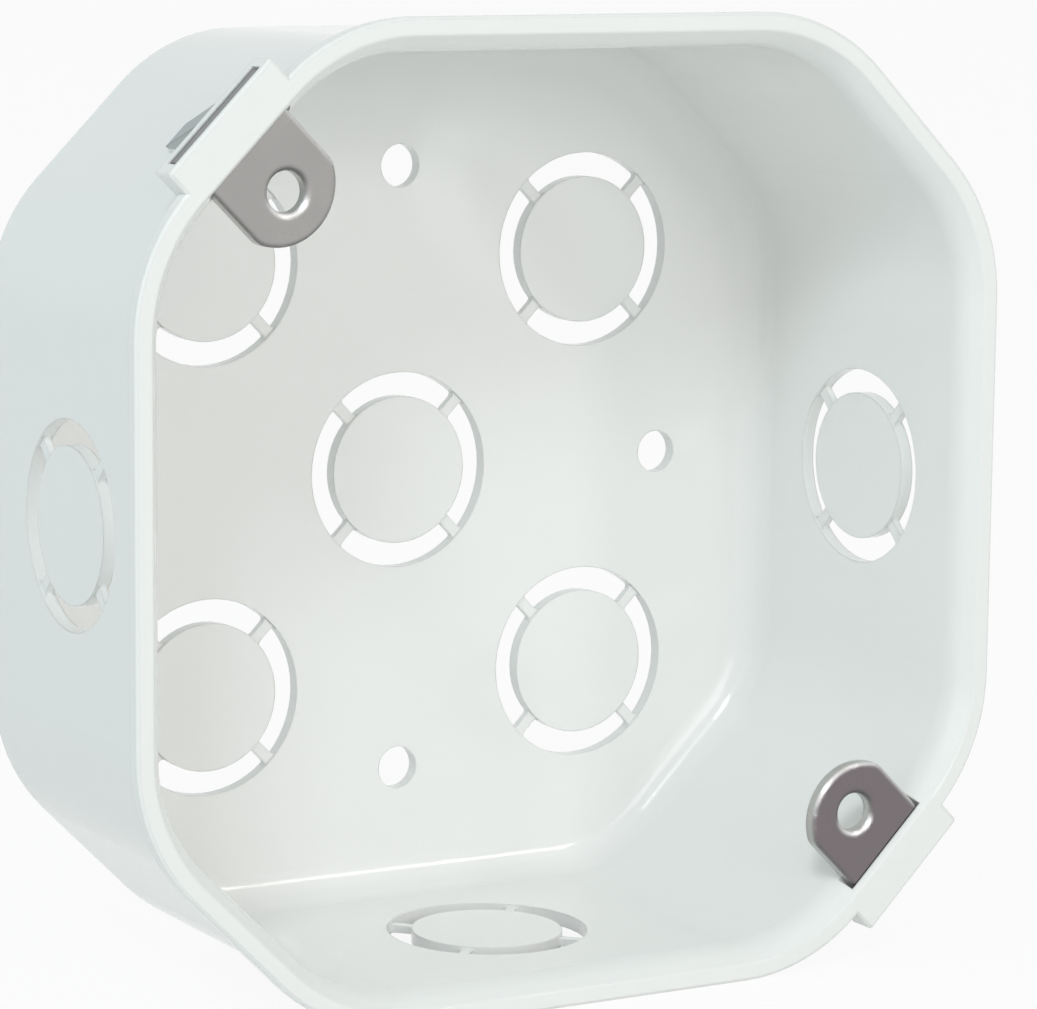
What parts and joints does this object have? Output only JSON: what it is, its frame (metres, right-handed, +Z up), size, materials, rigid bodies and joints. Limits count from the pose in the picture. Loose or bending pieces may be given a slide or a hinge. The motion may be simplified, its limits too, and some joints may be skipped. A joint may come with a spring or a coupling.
{
  "type": "octagonal junction box",
  "caption": "Shallow octagonal moulded wiring box with bridged knockout discs in its back and walls, and slotted metal ears at opposite corners that take the cover screws.",
  "frame": {"origin": "centre of the outside of the back, where the box meets the wall or ceiling it is fixed to", "axes": "+Z up, +X to the right of someone facing the open side, +Y out through the back; the box opens towards -Y"},
  "size_m": [0.1018, 0.0415, 0.1018],
  "materials": {
    "moulded_plastic": "glossy moulded, off-white",
    "ear_metal": "stamped and zinc plated, satin"
  },
  "bodies": {
    "root": {"box_body": "moulded_plastic", "upper_ear": "ear_metal", "lower_ear": "ear_metal"}
  },
  "joints": []
}
